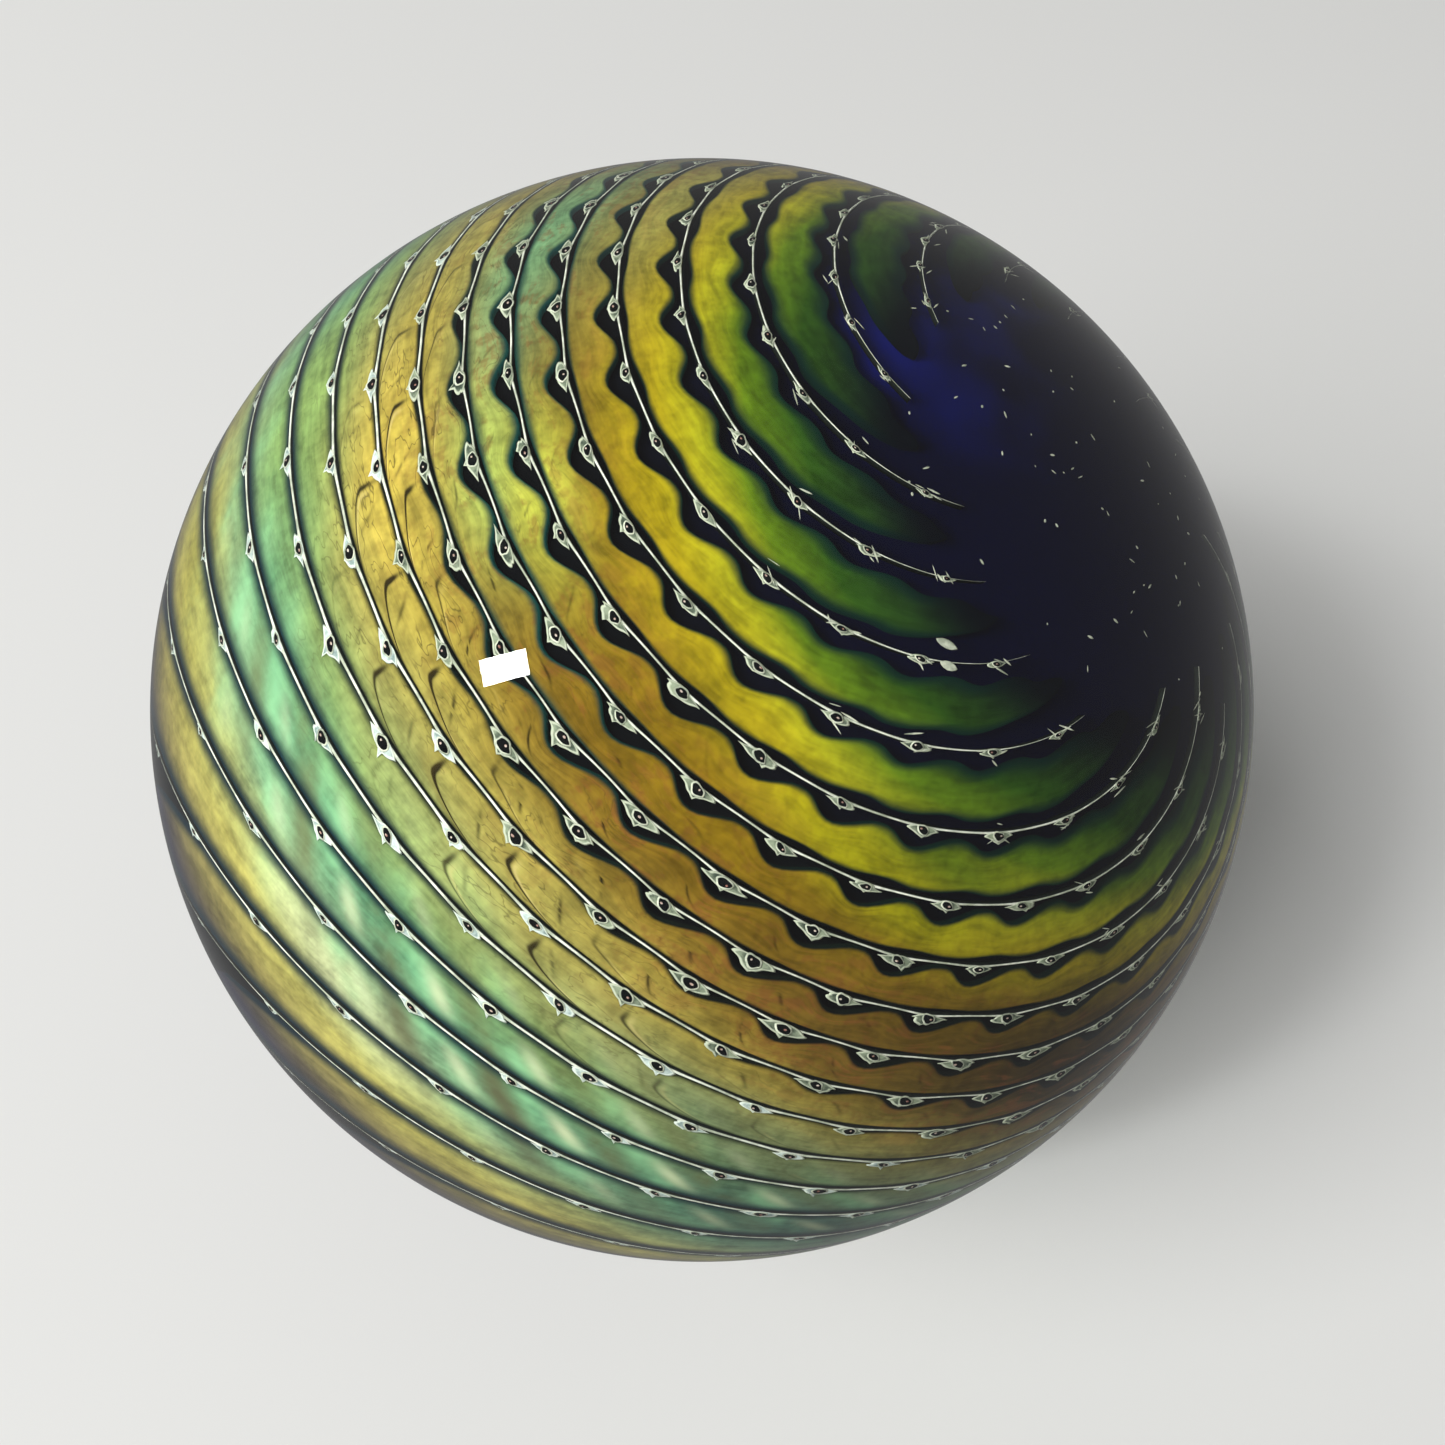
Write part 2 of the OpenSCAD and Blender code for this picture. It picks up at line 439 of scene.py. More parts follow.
# Soft patches: latitude, longitude, reach in latitude and in longitude, strength, colour.
PATCHES = {
    "pale olive shoulder": (50, -84, 4, 22, 0.9, (160, 156, 78)),
    "mint streak": (60, -74, 5.0, 25, 1.0, (118, 162, 114)),
    "lime end of the mint streak": (60, -40, 3.5, 10, 0.9, (172, 190, 94)),
    "olive saddle": (55, -35, 3.0, 10, 0.85, (188, 192, 74)),
    "orange heart": (52, 4, 3.5, 14, 0.9, (130, 104, 14)),
    "yellow sweep": (46, 26, 2.8, 20, 0.9, (154, 152, 16)),
    "amber flank": (60, 32, 5, 16, 0.8, (112, 88, 30)),
    "lime hollow": (41, 30, 3.0, 18, 0.8, (78, 108, 18)),
    # Partly the glass's own brown, partly painted shade that darkens the right flank.
    "brown edge with painted shade": (58, 68, 12, 28, 0.9, (50, 38, 20)),
    "ochre leaves": (70, -44, 5, 18, 0.9, (188, 166, 70)),
    "ochre middle": (69, 2, 4, 14, 0.7, (158, 148, 76)),
    "olive hem": (73, 28, 3.5, 14, 0.8, (126, 142, 96)),
    "lime hem": (76, -6, 3, 13, 0.8, (156, 172, 106)),
    "green flank": (83, -56, 6, 14, 0.8, (138, 164, 84)),
    # Partly the glass's own teal, partly painted shade that darkens the right flank.
    "deep teal with painted shade": (82, 50, 9, 24, 0.9, (64, 98, 88)),
    "yellow heel": (98, -48, 6, 14, 0.8, (150, 144, 60)),
    "cream toe": (94, -1, 3.5, 11, 0.75, (204, 212, 164)),
}
print(len(ZONES), "zones and", len(PATCHES), "patches")

# %% [markdown]
# ## How wide the ribbons are
#
# A ribbon lies between its own thread and the next one. Near the pole it covers only half of that
# stretch, and further down it nearly fills it. Its own side is lobed where the pattern was combed:
# it draws back in a dark lobe just past every bead. Both gaps are shares of the stretch, read off
# along the latitude with `np.interp`. `beads` is whole at a bead, so a cosine of it raised to a
# power makes the lobes: the power narrows them, and a shorter fall gives each a steep far side.

# %% Gaps beside a ribbon
GAP_LATS = [20, 26, 32, 38, 44, 50, 57, 63, 66, 69, 75, 121]
OWN_GAP = [0.30, 0.22, 0.16, 0.13, 0.11, 0.085, 0.06, 0.045, 0.04, 0.035, 0.035, 0.04]
OWN_LOBE = [0.04, 0.06, 0.08, 0.13, 0.22, 0.30, 0.36, 0.38, 0.26, 0.08, 0.02, 0.0]
NEXT_GAP = [0.25, 0.19, 0.14, 0.11, 0.09, 0.08, 0.07, 0.06, 0.05, 0.04, 0.035, 0.035]
NEXT_LOBE = [0.02, 0.04, 0.06, 0.07, 0.06, 0.03, 0.02, 0.015, 0.01, 0.01, 0.01, 0.0]
LOBE_PAST_BEAD, STEEP_SIDE = 0.14, 0.84
OWN_POWER, NEXT_POWER = 1.8, 2.2


def lobes(beads, power):
    """1 where a lobe is deepest, 0 between two: it comes on slowly and ends steeply."""
    past = (beads - LOBE_PAST_BEAD + 0.5) % 1 - 0.5
    reach = np.where(past > 0, STEEP_SIDE, 1.0)
    return np.cos(np.pi * np.clip(past / reach, -0.5, 0.5)) ** power


def share(latitude, table):
    """A gap, or the depth of a lobe, as a share of the stretch."""
    return np.interp(latitude, GAP_LATS, table)


def own_gap(latitude, beads):
    """From the own thread to the ribbon's lobed edge."""
    return share(latitude, OWN_GAP) + share(latitude, OWN_LOBE) * lobes(beads, OWN_POWER)


def next_gap(latitude, beads):
    """From the ribbon's smoother edge to the next thread."""
    return share(latitude, NEXT_GAP) + share(latitude, NEXT_LOBE) * lobes(beads, NEXT_POWER)


NEAR_TAPER, FAR_TAPER, FAR_END = 6, 8, LAST_LAT + 2


def fullness(latitude):
    """How much of its width a ribbon has: it fills out quickly from either end."""
    past_ends = np.minimum((latitude - FIRST_LAT) / NEAR_TAPER, (FAR_END - latitude) / FAR_TAPER)
    return np.clip(past_ends, 0, 1) ** 0.6 * 0.85 + 0.15


print("widest lobe:", round(float(own_gap(63, LOBE_PAST_BEAD)), 2), "of the stretch")

# %% [markdown]
# The colour of a ribbon is built up in layers, each blended over the last by its own mask: zones,
# patches, streaks along the ribbon, marks beside the beads, and last the dark edges. The masks are
# made from numbers that the mesh stores. `across` runs from 0 at a ribbon's lobed edge to 1 at its
# smooth one, `beads` counts on along it, and `strand` is the ribbon's number.

# %% Ribbon glass: the colour
ribbon_sheet = Sheet("wound_ribbon_glass")
lat = ribbon_sheet.attribute("lat")
lon = ribbon_sheet.attribute("lon")
lon = lon.math("WRAP", lon, 180.0, -180.0)
across = ribbon_sheet.attribute("across")
beads = ribbon_sheet.attribute("beads")
strand = ribbon_sheet.attribute("strand")

ball_place = ribbon_sheet.spot()
wobble = ribbon_sheet.noise(ball_place, 260.0, 2.0) - 0.5
stops = [(at / LAT_SPAN, glass_colour(*colour)) for at, colour in ZONES]
zone_at = (lat + wobble * 4.0 + across * 1.5) / LAT_SPAN
colour = ribbon_sheet.node("ShaderNodeValToRGB", {"stops": stops}, {"Fac": zone_at})
for patch_lat, patch_lon, reach_lat, reach_lon, strength, patch_colour in PATCHES.values():
    amount = lat.bell(patch_lat, reach_lat) * lon.bell(patch_lon, reach_lon) * strength
    colour = ribbon_sheet.blend(amount, colour, glass_colour(*patch_colour))
print("zones and patches laid")

# %% [markdown]
# Glass that was pulled while soft is streaky along the pull. A noise whose place is counted in
# beads and ribbon widths is stretched the same way, and two finer noises add grain and clouds.
# They lighten and darken the colour. Where they meet in the amber, it blushes a reddish brown.


# %% Ribbon glass: streaks, grain and clouds
def coat(under, mask, red, green, blue):
    """One more coat of coloured glass over the last, as thick as the mask says."""
    return ribbon_sheet.blend(mask, under, glass_colour(red, green, blue))


streak_at = ribbon_sheet.vector(beads * 0.9, across * 3.2, strand * 7.3)
streaks = ribbon_sheet.noise(streak_at, 1.6, 3.5, 0.64)
grain = ribbon_sheet.noise(ball_place, 2200.0, 2.5, 0.7)
clouds = ribbon_sheet.noise(ball_place, 480.0, 3.0, 0.6)
tone = 0.44 + streaks.between(0.28, 0.72) * 0.4
tone += grain.between(0.3, 0.7) * 0.3 + clouds.between(0.3, 0.7) * 0.3
blush = (streaks + clouds - grain).between(0.48, 0.72) * lat.bell(59, 9)
colour = coat(colour, blush * 0.5, 124, 72, 38)
colour = ribbon_sheet.toned(colour, tone)
print("streaks, grain and clouds laid")

# %% [markdown]
# The amber and the ochre band after it are scored by short dark dashes across each ribbon and by
# fine crooked creases. A dash returns once for each bead, at a slant. A crease is a contour line of
# a noise: the thin band where the noise passes one half.

# %% Ribbon glass: dashes and creases
dash_at = (beads - across * 0.7 + strand * 0.37).fraction()
dash_field = ribbon_sheet.noise(streak_at, 1.6, 1.0).between(0.4, 0.48)
dash_zone = lat.bell(64, 11) * lon.bell(-6, 52)
dashes = dash_at.bell(0.55, 0.03) * across.bell(0.5, 0.24) * dash_field * dash_zone
colour = coat(colour, dashes, 18, 14, 6)
crease_at = ribbon_sheet.vector(beads * 1.3, across * 1.9, strand * 3.1)
crease_zone = lat.bell(68, 13) * lon.bell(-34, 60) * clouds.between(0.36, 0.56)
creases = ribbon_sheet.noise(crease_at, 1.5, 2.0, 0.6).bell(0.5, 0.01) * crease_zone
colour = coat(colour, creases * 0.75, 52, 44, 20)
print("dashes and creases laid")

# %% [markdown]
# In the ochre band the lobes have closed up again, and each has left a thin dark line, which runs
# down from its bead and bends along the next thread. A warm shade and a cream line follow it. The
# bend is a square that sets in halfway across.

# %% Ribbon glass: leaf lines
bend = (across - 0.5).math("MAXIMUM", across - 0.5, 0.0)
leaf_at = (beads - LOBE_PAST_BEAD - across * 0.31 - bend * bend * 3.2 + 0.5 + wobble * 0.12).fraction()
leaf_zone = (lat - lon * 0.04).bell(71.5, 5.5) * lon.bell(-22, 52)
leaf_strength = across.between(0.99, 0.92) * (0.35 + across.between(0.1, 0.5) * 0.65) * leaf_zone
leaf_line = leaf_at.bell(0.5, 0.016 + grain * 0.04) * leaf_strength
colour = coat(colour, (leaf_line * 1.4).between(0, 1), 24, 22, 12)
beside_leaf = leaf_at.bell(0.4, 0.1) * leaf_zone * 0.3
colour = coat(colour, beside_leaf, 112, 90, 36)
cream_line = leaf_at.bell(0.575, 0.03) * across.between(0.2, 0.6) * clouds.between(0.4, 0.6)
colour = coat(colour, cream_line * leaf_zone * 0.6, 216, 196, 132)
print("leaf lines laid")

# %% [markdown]
# In the teal, each bead has slanted panels beside it instead: a mint one, an olive one with a brown
# veil over it, and a pale lens between them. All four go round with the same slanted count.

# %% Ribbon glass: panels and lenses in the teal
lens_at = (beads - 0.78 - (across - 0.45) + 0.5).fraction()
mint_at = (lens_at + 0.2).fraction()
veil_at = (lens_at + 0.6).fraction()
teal_lat = lat + lon * 0.1
mint_panel = mint_at.bell(0.5, 0.2) * teal_lat.bell(86, 7) * lon.bell(0, 60) * clouds.between(0.35, 0.6)
colour = coat(colour, mint_panel * 0.8, 146, 206, 152)
olive_panel = veil_at.bell(0.5, 0.22) * teal_lat.bell(85, 8) * lon.bell(0, 55) * clouds.between(0.3, 0.6)
colour = coat(colour, olive_panel * 0.75, 108, 106, 66)
veil = veil_at.bell(0.5, 0.2) * lat.bell(89, 4.5) * lon.bell(14, 20)
colour = coat(colour, veil * 0.75, 84, 70, 52)
lens = lens_at.bell(0.5, 0.12) * across.bell(0.5, 0.27)
colour = coat(colour, lens * teal_lat.bell(86, 6.5) * lon.bell(18, 42) * 0.85, 206, 216, 172)
print("panels and lenses laid")

# %% [markdown]
# The edges of a ribbon are where the cobalt ground shows through a thinning film of colour, so
# they darken: softly and through green near the pole, sharply in the amber, and softly again in
# the teal. Dividing `across` by the film's width gives a mask that is 1 past the film.

# %% Ribbon glass: the edges
film = 0.34 - lat.between(30, 52) * 0.23
soft_teal = lat.between(70, 82) * 0.17 + lat.bell(59, 5) * lon.bell(-48, 38) * 0.2
own_side = (across / (film + soft_teal * 0.7)).between(0.0, 1.0)
next_side = ((1 - across) / (film * 0.8 + soft_teal * 1.4)).between(0.0, 1.0)
near_pole = lat.between(60, 36)
mint_streak = lat.bell(58, 6) * lon.between(15, -25)
film_colour = ribbon_sheet.blend(near_pole, glass_colour(18, 24, 18), glass_colour(8, 36, 30))
film_colour = ribbon_sheet.blend(mint_streak, film_colour, glass_colour(12, 58, 54))
film_colour = ribbon_sheet.blend(lat.between(72, 82), film_colour, glass_colour(10, 36, 46))
colour = ribbon_sheet.blend(1 - own_side * next_side, colour, film_colour)
colour = coat(colour, lat.between(29, 23), 5, 9, 16)
ribbon_glass = ribbon_sheet.sunk_glass(colour, 0.6)
print("ribbon glass has", len(ribbon_sheet.tree.nodes), "nodes")

# %% [markdown]
# ## Ribbons
#
# Each ribbon is a low closed strip: a fine grid for its crowned top, two walls and an underside.
# As in the part, the ribbons are cut into five lengths, at the first bead past each border
# latitude, but their tops are smooth and finely lobed. The shading normals all point straight out
# of the ball, so that where one length ends and the next begins, no edge shows.

# %% One ribbon's places
STEPS = 12
SHARES = np.array([0.0, 0.04, 0.14, 0.32, 0.5, 0.68, 0.86, 0.96, 1.0])
RIBBON_TOP = inlay_r - 0.12 * MM
RIBBON_FOOT = core_r + 0.04 * MM
RIBBON_CROWN = 0.08 * MM
ALL_BEADS = np.arange(60, -120, -1)


def border(strip, latitude):
    """Where a ribbon is cut at a latitude: at the next bead, but right there at its two ends."""
    lats, _ = lat_lon(strip + 0.5, ALL_BEADS)
    if FIRST_LAT < latitude < LAST_LAT:
        return ALL_BEADS[lats >= latitude][0]
    return float(np.interp(latitude, lats, ALL_BEADS))


def ribbon_places(strip, first, last):
    """Latitudes, longitudes and bead counts of the grid of a ribbon's top."""
    count = np.linspace(first, last, math.ceil((first - last) * STEPS) + 1)
    middle_lat, _ = lat_lon(strip + 0.5, count)
    left, right = strip + own_gap(middle_lat, count), strip + 1 - next_gap(middle_lat, count)
    middle, half = (left + right) / 2, fullness(middle_lat) * (right - left) / 2
    u = (middle - half)[:, None] + 2 * half[:, None] * SHARES
    return *lat_lon(u, count[:, None]), count[:, None] + 0 * u


print(f"a ribbon's top has {len(SHARES)} points across and {STEPS} steps from bead to bead")


# %% Ribbon strips
def ribbon_length(name, from_lat, to_lat, node):
    """All ribbons between two latitudes, as closed strips in one piece."""
    points, faces, outward = [], [], []
    facts = {key: [] for key in ("lat", "lon", "across", "beads", "strand")}
    tops = (RIBBON_TOP - RIBBON_CROWN * (2 * SHARES - 1) ** 4)[None, :, None]
    size = len(SHARES) + 2
    for strip in range(RIBBONS):
        first, last = border(strip, from_lat), border(strip, to_lat)
        lats, lons, counts = ribbon_places(strip, first, last)
        way = on_ball(lats, lons)
        feet = way[:, [-1, 0]]
        faces.extend(tube_faces(len(points), len(lats), size))
        points.extend(np.concatenate([way * tops, feet * RIBBON_FOOT], axis=1).reshape(-1, 3))
        outward.extend(np.concatenate([way, feet], axis=1).reshape(-1, 3))
        known = {"lat": lats, "lon": lons, "across": SHARES + 0 * lats, "beads": counts}
        known["strand"] = strip + 0 * lats
        for key, values in known.items():
            facts[key].extend(np.concatenate([values, values[:, [-1, 0]]], axis=1).ravel())
    make_piece(name, points, faces, ribbon_glass, [node], facts, outward)


ribbon_length("green_swirl", FIRST_LAT, 34, "green_ribbons")
ribbon_length("yellow_swirl", 34, 43, "yellow_ribbons")
ribbon_length("amber_swirl", 43, 67, "amber_ribbons")
ribbon_length("teal_swirl", 67, 94, "teal_ribbons")
ribbon_length("ochre_swirl", 94, FAR_END, "ochre_ribbons")

# %% [markdown]
# ## Threads and beads
#
# A thread is a hair of silvery glass. From bead to bead it bows a little towards the pole, as a
# net does where it hangs from its knots. A bead of trapped air reads as a pale star with long
# points along the thread and a drop below it, round a dark eye with a bright rim and a spark of
# light in it; the spark is a painted highlight. Star, rim, eye and spark are thin domed plates,
# one over another. Each is bent to the ball's round, so that none dips into what lies under it.
# `edge` runs from 0 in a plate's middle, or on a thread's crest, to 1 at its rim, and the shaders
# change their colour there. From the ochre band on, the stars are of a paler and bluer glass, and
# the pieces call those blooms.
#
# The faces of the threads and of the beads' plates look inward. Opaque glass looks the same from
# either side in a render, but a viewer that hides the backs of faces would not show them.


# %% Silver, star, rim and eye
def bead_glass(name, tones, mottle_scale, edge_from, edge_to, rough, edge_colour=(12, 18, 22)):
    """A glass mottled between a dark and a light tone, with another colour towards its edge."""
    sheet = Sheet(name)
    mottle = sheet.noise(sheet.spot(), mottle_scale, 4.0, 0.65).between(0.32, 0.68)
    dark, light = (glass_colour(*tone) for tone in tones)
    edge = sheet.attribute("edge").between(edge_from, edge_to)
    colour = sheet.blend(edge, sheet.blend(mottle, dark, light), glass_colour(*edge_colour))
    return sheet.sunk_glass(colour, rough)


SILVER_TONES = ((168, 176, 154), (240, 243, 228))
STAR_TONES = ((58, 70, 60), (150, 162, 136))
BLOOM_TONES = ((122, 142, 138), (212, 226, 218))
RIM_TONES = ((150, 158, 138), (226, 230, 208))
EYE_TONES = ((4, 6, 8), (18, 20, 20))
# The spark tones are the colours of the painted highlight in each eye.
SPARK_TONES = ((150, 96, 84), (226, 214, 200))
thread_glass = bead_glass("silver_thread_glass", SILVER_TONES, 1500, 0.3, 0.7, 0.35, (24, 30, 26))
star_glass = bead_glass("milky_star_glass", STAR_TONES, 2300, 0.72, 0.88, 0.4, (196, 204, 180))
bloom_glass = bead_glass("blue_bloom_glass", BLOOM_TONES, 2300, 0.72, 0.88, 0.4, (224, 234, 222))
rim_glass = bead_glass("bright_rim_glass", RIM_TONES, 2400, 0.9, 1.4, 0.3)
eye_glass = bead_glass("dark_eye_glass", EYE_TONES, 3000, 0.8, 1.3, 0.2)
painted_highlight_glass = bead_glass("warm_painted_highlight", SPARK_TONES, 5000, 0.9, 1.4, 0.3)
print("thread and bead glasses ready")


# %% Where the threads and beads run
def thread_counts(u):
    """Bead places of thread u between the two caps, from the near pole down."""
    lats, _ = lat_lon(u, ALL_BEADS)
    return ALL_BEADS[(lats >= FIRST_LAT) & (lats <= LAST_LAT)]


BOW_LATS = [20, 42, 52, 58, 70, 80, 90, 121]
BOW = [0.0, 0.012, 0.045, 0.07, 0.06, 0.03, 0.012, 0.0]


def bowed(u, count):
    """Thread u with its bow between beads, and the bead itself hanging at its lowest."""
    latitude, _ = lat_lon(u, count)
    return u + np.interp(latitude, BOW_LATS, BOW) * (0.35 - np.abs(np.sin(np.pi * count)))


# A step along or across the pattern that is small against the space between two beads.
NUDGE = 0.02


def directions(u, count):
    """The place on the ball, the way along the thread and the way to its own ribbon."""
    here = place(bowed(u, count), count)
    along = place(u, count + NUDGE) - place(u, count - NUDGE)
    along /= np.linalg.norm(along, axis=-1, keepdims=True)
    side = np.cross(here, along)
    toward = np.sum((place(u + NUDGE, count) - place(u, count)) * side, axis=-1, keepdims=True)
    return here, along, side * np.sign(toward)


print("beads on each thread:", [len(thread_counts(u)) for u in range(RIBBONS)])

# %% Threads
THREAD_STEPS = 12
THREAD_TOP = inlay_r - 0.07 * MM
# A thread's section from side to side: sideways and up in mm, then how near it is to the edge.
PROFILE = [(-0.046, -0.3, 1.0), (-0.046, -0.03, 1.0), (-0.017, -0.01, 0.3), (0.0, 0.0, 0.0),
           (0.017, -0.01, 0.3), (0.046, -0.03, 1.0), (0.046, -0.3, 1.0)]
WIDTH_LATS, WIDTHS = [62, 74, 96, 116], [1.0, 1.55, 1.3, 0.9]
TAPER_BEADS, THINNEST = 2.5, 0.12


def thread_width(u, count):
    """Metres for each mm of the section's width: it swells at a bead and thins out at both ends."""
    order = np.arange(len(count))
    from_end = np.minimum(order, order[::-1]) / (TAPER_BEADS * THREAD_STEPS)
    swell = 0.85 + 0.5 * np.cos(np.pi * count) ** 8
    by_latitude = np.interp(lat_lon(u, count)[0], WIDTH_LATS, WIDTHS)
    return (np.clip(from_end, THINNEST, 1) * swell * by_latitude * MM)[:, None]


thread_points, thread_faces, thread_edge = [], [], []
for u in range(RIBBONS):
    counts = thread_counts(u)
    count = np.linspace(counts[0] + 0.5, counts[-1] - 0.9, len(counts) * THREAD_STEPS + 1)
    here, along, side = directions(u, count)
    width = thread_width(u, count)
    rings = [here * (THREAD_TOP + up * MM) + side * wide * width for wide, up, _ in PROFILE]
    thread_faces.extend(tube_faces(len(thread_points), len(count), len(PROFILE), inside_out=True))
    thread_points.extend(np.stack(rings, axis=1).reshape(-1, 3))
    thread_edge.extend([edge for *_, edge in PROFILE] * len(count))
make_piece("silver_threads_fine", thread_points, thread_faces, thread_glass,
           ["silver_threads"], {"edge": thread_edge})


# %% Plates for the beads
def outline(steps, reach, drop, rise, sharp, sway=0.0, turn=0.0):
    """A closed outline as (along, side). Sharp over 1 draws it to points along the thread."""
    angle = np.linspace(0, 2 * np.pi, steps, endpoint=False)
    y = np.sign(np.sin(angle)) * np.abs(np.sin(angle)) ** sharp
    hand = 1 + sway * np.sin(3 * angle + turn) + 0.6 * sway * np.sin(5 * angle + 2 * turn)
    flat = np.stack([np.cos(angle) * reach, np.where(y > 0, y * drop, y * rise)], axis=1)
    return flat * hand[:, None]


# How far each kind of plate lies under the casing's inner face and how much it domes, in mm.
STAR_LAYER, FLECK_LAYER, RIM_LAYER = (0.055, 0.015), (0.05, 0.004), (0.04, 0.008)
EYE_LAYER, SPARK_LAYER = (0.03, 0.006), (0.022, 0.003)
DOME_LEVELS = (0.4, 0.74, 0.88, 1.0)


def plate(kind, here, along, side, shape, layer):
    """A thin domed plate with that outline, bent to the ball.

    Its faces look outward where `side` lies to the left of `along`, seen from outside the ball.
    """
    points, faces, edge = kind
    top, dome = inlay_r - layer[0] * MM, layer[1] * MM
    n, start = len(shape), len(points)
    for level in DOME_LEVELS:
        flat = here + (shape[:, :1] * along + shape[:, 1:] * side) * level / top
        flat /= np.linalg.norm(flat, axis=1, keepdims=True)
        points.extend(flat * (top - dome * level**4))
        edge.extend([level] * n)
    points.extend([here * top, here * (top - 2 * dome)])
    edge.extend([0.0, 1.0])
    crest, under, rim = len(points) - 2, len(points) - 1, start + n * (len(DOME_LEVELS) - 1)
    for j in range(n):
        k = (j + 1) % n
        faces.append((crest, start + j, start + k))
        faces.append((under, rim + k, rim + j))
        for a in range(start, rim, n):
            faces.append((a + j, a + n + j, a + n + k, a + k))


print(f"a plate has {len(DOME_LEVELS)} rings round its crest")

# %% One bead
bead_rng = np.random.default_rng(7)
bead_glasses = {
    "stars": star_glass, "blooms": bloom_glass, "rims": rim_glass, "eyes": eye_glass, "painted_highlights": painted_highlight_glass
}
kinds = {name: ([], [], []) for name in bead_glasses}
SIZE_LATS = [20, 34, 44, 52, 60, 78, 95, 119]
SIZES = [0.45, 0.72, 0.78, 0.92, 1.04, 0.98, 0.75, 0.45]
DROP_LATS, DROPS = [45, 60, 84], [0.17, 0.18, 0.17]
HANG_LATS, HANGS = [45, 60, 76], [0.1, 0.16, 0.22]
STAR_RISE, OFF_THREAD, BLOOM_LAT = 0.13, 0.05 * MM, 69


def bead_eye(centre, along, side, size, wild):
    """A dark eye in a bright rim of much the same form, which shows all round the eye."""
    skew = bead_rng.uniform(-0.1, 0.5)
    eye_along = along * math.cos(skew) + side * math.sin(skew)
    eye_side = side * math.cos(skew) - along * math.sin(skew)
    plump = bead_rng.uniform(0.8, 1.2)
    turn = bead_rng.uniform(0, 6)
    rim = outline(28, 0.225, 0.15 * plump, 0.13 * plump, 1.15, wild * 0.6, turn) * size
    eye = outline(28, 0.18, 0.108 * plump, 0.092 * plump, 1.25, wild * 0.6, turn) * size
    plate(kinds["rims"], centre, eye_along, eye_side, rim, RIM_LAYER)
    plate(kinds["eyes"], centre, eye_along, eye_side, eye, EYE_LAYER)


def bead_spark(centre, along, side, size):
    """A small spark of light, a painted highlight a little off the middle of the eye."""
    off = along * bead_rng.uniform(-0.08, 0.08) + side * bead_rng.uniform(-0.03, 0.03)
    spot = centre + off * size / inlay_r
    spark = outline(12, bead_rng.uniform(0.025, 0.05), 0.026, 0.026, 1.0) * size
    plate(kinds["painted_highlights"], spot / np.linalg.norm(spot), along, side, spark, SPARK_LAYER)


print("plates of a bead:", list(kinds))

# %% All beads
bead_total = 0
for u in range(RIBBONS):
    counts = thread_counts(u)
    lats, _ = lat_lon(u, counts)
    for here, along, side, latitude in zip(*directions(u, counts), lats):
        size = float(np.interp(latitude, SIZE_LATS, SIZES)) * bead_rng.uniform(0.86, 1.12) * MM
        drop = np.interp(latitude, DROP_LATS, DROPS)
        hang = np.interp(latitude, HANG_LATS, HANGS) * bead_rng.uniform(0.2, 1.4)
        centre = here + side * (OFF_THREAD / inlay_r) * bead_rng.uniform(0.6, 1.4)
        centre /= np.linalg.norm(centre)
        wild = bead_rng.uniform(0.04, 0.16)
        reach, drop = bead_rng.uniform(0.46, 0.58), drop * bead_rng.uniform(0.9, 1.15)
        star = outline(40, reach, drop, STAR_RISE, 2.0, wild, bead_rng.uniform(0, 6)) * size
        star[np.argmax(star[:, 1])] += np.array([0.3, 0.6]) * hang * size
        kind = kinds["stars"] if latitude < BLOOM_LAT else kinds["blooms"]
        plate(kind, centre, along, side, star, STAR_LAYER)
        bead_eye(centre, along, side, size, wild)
        bead_spark(centre, along, side, size)
        bead_total += 1
print(bead_total, "beads")
for name, material in bead_glasses.items():
    points, faces, edge = kinds[name]
    make_piece(f"bead_{name}", points, faces, material, (), {"edge": edge})

# %% [markdown]
# ## Flecks by the pole
#
# The bare cobalt cap is strewn with specks and short scratches of silver and two larger chips, and
# the first beads of each thread sit in tufts of it. The two chips are real, and their bright white is
# partly a painted highlight, the glint they catch. They are the same thin plates. The places of all
# but the chips are drawn at random from a fixed seed, so that each run lays them alike.

# %% Flecks
fleck_rng = np.random.default_rng(21)
flecks = ([], [], [])
CAP_SPECKS, TUFTED_BEADS, TUFT_HAIRS = 70, 4, 3


def fleck(latitude, longitude, length, width, lean):
    """One fleck, sized in mm and turned by some radians from the parallel it lies on."""
    here = on_ball(latitude, longitude)
    along = np.cross(here, POSE[:, 2])
    along /= np.linalg.norm(along)
    leaning = along * math.cos(lean) + np.cross(here, along) * math.sin(lean)
    shape = outline(12, length, width, width, 1.6) * MM
    plate(flecks, here, leaning, np.cross(here, leaning), shape, FLECK_LAYER)


for _ in range(CAP_SPECKS):
    fleck(fleck_rng.uniform(4, 24), fleck_rng.uniform(-180, 180), fleck_rng.uniform(0.03, 0.11),
          fleck_rng.uniform(0.015, 0.035), fleck_rng.uniform(0, 3.14))
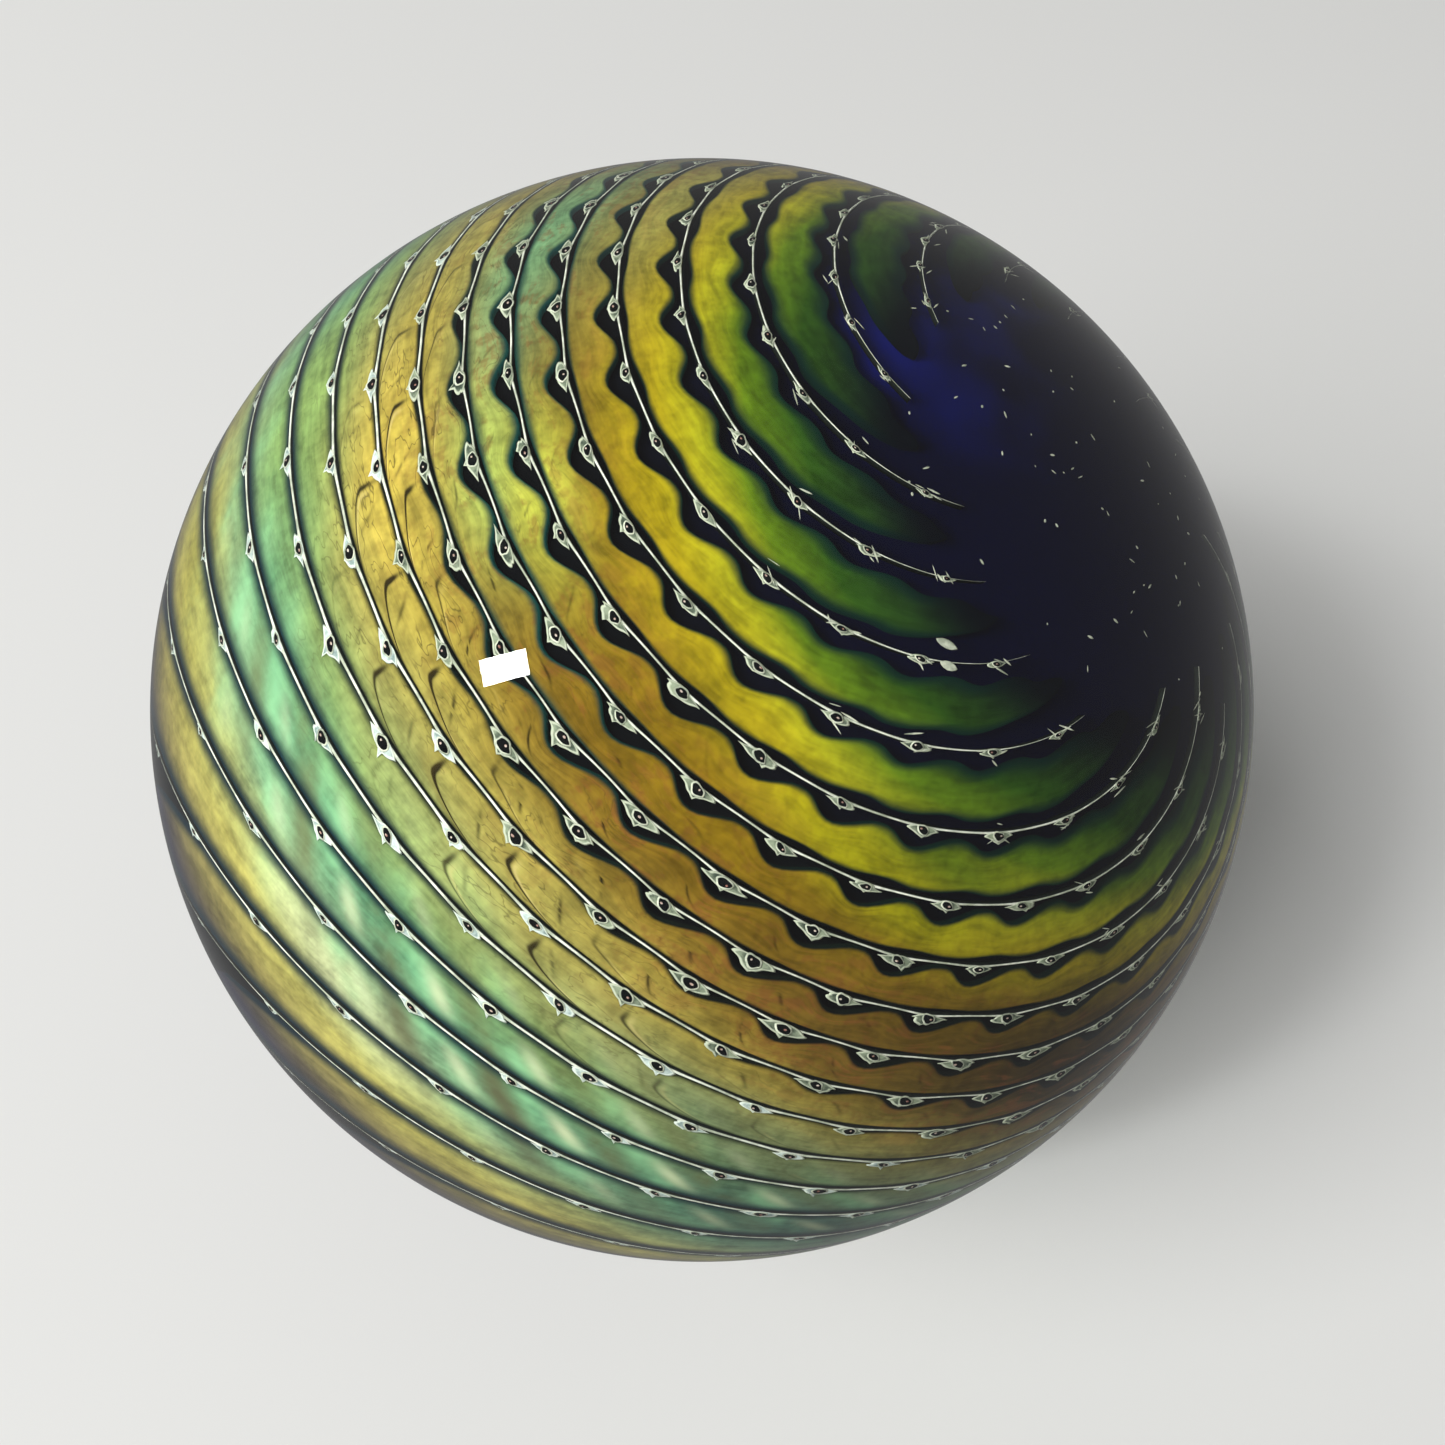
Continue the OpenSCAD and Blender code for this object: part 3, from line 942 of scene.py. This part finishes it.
# Two larger chips, whose bright white is partly a painted highlight.
for glinting_chip_lat, glinting_chip_lon, length in ((27.5, 5.2, 0.3), (28.6, 8.4, 0.24)):
    fleck(glinting_chip_lat, glinting_chip_lon, length, 0.11, 0.5)
for u in range(RIBBONS):
    for tuft_lat, tuft_lon in zip(*lat_lon(u, thread_counts(u)[:TUFTED_BEADS])):
        for _ in range(TUFT_HAIRS):
            hair_lat = tuft_lat + fleck_rng.uniform(-0.9, 0.9)
            hair_lon = tuft_lon + fleck_rng.uniform(-2, 2)
            fleck(hair_lat, hair_lon, fleck_rng.uniform(0.08, 0.26), fleck_rng.uniform(0.012, 0.026),
                  fleck_rng.uniform(-0.3, 1.1))
make_piece("silver_flecks", flecks[0], flecks[1], rim_glass, (), {"edge": flecks[2]})

# %% [markdown]
# ## Cobalt core
#
# The core's shape is right in the part, so the node stays and only gets its glass: so deep a blue
# that it looks black. The blue by the near pole is a painted glow, for light that gets into the
# glass there, and the bright blue spots near its left edge are painted glints. The dot product of a
# place with the way to a spot says how near that spot it is.

# %% Core glass
core_sheet = Sheet("deep_cobalt_glass")
core_at = core_sheet.spot()


def nearness(latitude, longitude, from_angle, to_angle):
    """0 outside a cap round a place on the core, 1 in its middle."""
    way = tuple(float(c) / core_r for c in on_ball(latitude, longitude))
    dot_product = {"operation": "DOT_PRODUCT"}
    facing = core_sheet.node("ShaderNodeVectorMath", dot_product, {0: core_at, 1: way}, out="Value")
    return facing.between(float(cosd(from_angle)), float(cosd(to_angle)))


# Painted glow: the navy by the near pole and the blue glints by the left edge stand for light in the
# cobalt.
glow_noise = core_sheet.noise(core_at, 150.0, 3.0).between(0.42, 0.75)
painted_pole_glow = nearness(0, 0, 52, 22)
painted_blue_glint = nearness(20, -92, 20, 3) * glow_noise * 0.8
core_colour = core_sheet.blend(painted_pole_glow, glass_colour(10, 12, 14), glass_colour(5, 6, 34))
core_colour = core_sheet.blend(painted_blue_glint, core_colour, glass_colour(18, 30, 140))
cobalt_glass = core_sheet.sunk_glass(core_colour, 0.4)
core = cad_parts["cobalt_core"]
core.data.materials.clear()
core.data.materials.append(cobalt_glass)
print("core glass set")

# %% [markdown]
# ## Clear casing
#
# In the part, the casing is a shell with an inner wall. Light would bend again at that wall, as if
# air lay behind it, but the real glass is fused to the pattern. So the piece that stands for it is
# the outer surface alone: everything inside is then sunk in glass and looks enlarged, as it should.
# Clear glass would hold back the lamps' light in a path tracer, so for shadow rays it is mixed with
# a Transparent shader. A noise in the roughness gives the glass faint scuffs. Its shading normals
# are those of a true ball, so that the highlight is clean.

# %% Casing glass
casing_sheet = Sheet("clear_casing_glass")
GLASS_IOR = 1.5
scuffs = casing_sheet.noise(casing_sheet.spot(), 420.0, 2.0, 0.7).between(0.6, 0.76)
casing_look = {
    "Base Color": (0.97, 0.98, 0.975, 1),
    "Roughness": scuffs * 0.06,
    "IOR": GLASS_IOR,
    "Transmission Weight": 1.0,
}
bending = casing_sheet.node("ShaderNodeBsdfPrincipled", sockets=casing_look)
letting_by = casing_sheet.node("ShaderNodeBsdfTransparent", sockets={"Color": (0.96, 0.97, 0.97, 1)})
in_shadow_ray = casing_sheet.node("ShaderNodeLightPath", out="Is Shadow Ray")
casing_mix = {0: in_shadow_ray, 1: bending, 2: letting_by}
casing_glass = casing_sheet.finish(casing_sheet.node("ShaderNodeMixShader", sockets=casing_mix))
print("casing glass ready")


# %% Casing surface
def globe_mesh(radius, rows, columns):
    """Points and faces of a ball with its poles up and down."""
    points = [(0, 0, radius)]
    for i in range(1, rows):
        tilt = math.pi * i / rows
        out, up = radius * math.sin(tilt), radius * math.cos(tilt)
        for j in range(columns):
            turn = 2 * math.pi * j / columns
            points.append((out * math.cos(turn), out * math.sin(turn), up))
    points.append((0, 0, -radius))
    faces, bottom = [], len(points) - 1
    for j in range(columns):
        k = (j + 1) % columns
        faces.append((0, 1 + j, 1 + k))
        for i in range(rows - 2):
            a = 1 + i * columns
            faces.append((a + j, a + columns + j, a + columns + k, a + k))
        a = 1 + (rows - 2) * columns
        faces.append((a + j, bottom, a + k))
    return points, faces


ball_points, ball_faces = globe_mesh(ball_r, 180, 360)
straight_out = np.array(ball_points) / ball_r
make_piece("casing_surface", ball_points, ball_faces, casing_glass,
           ["clear_casing"], None, straight_out)
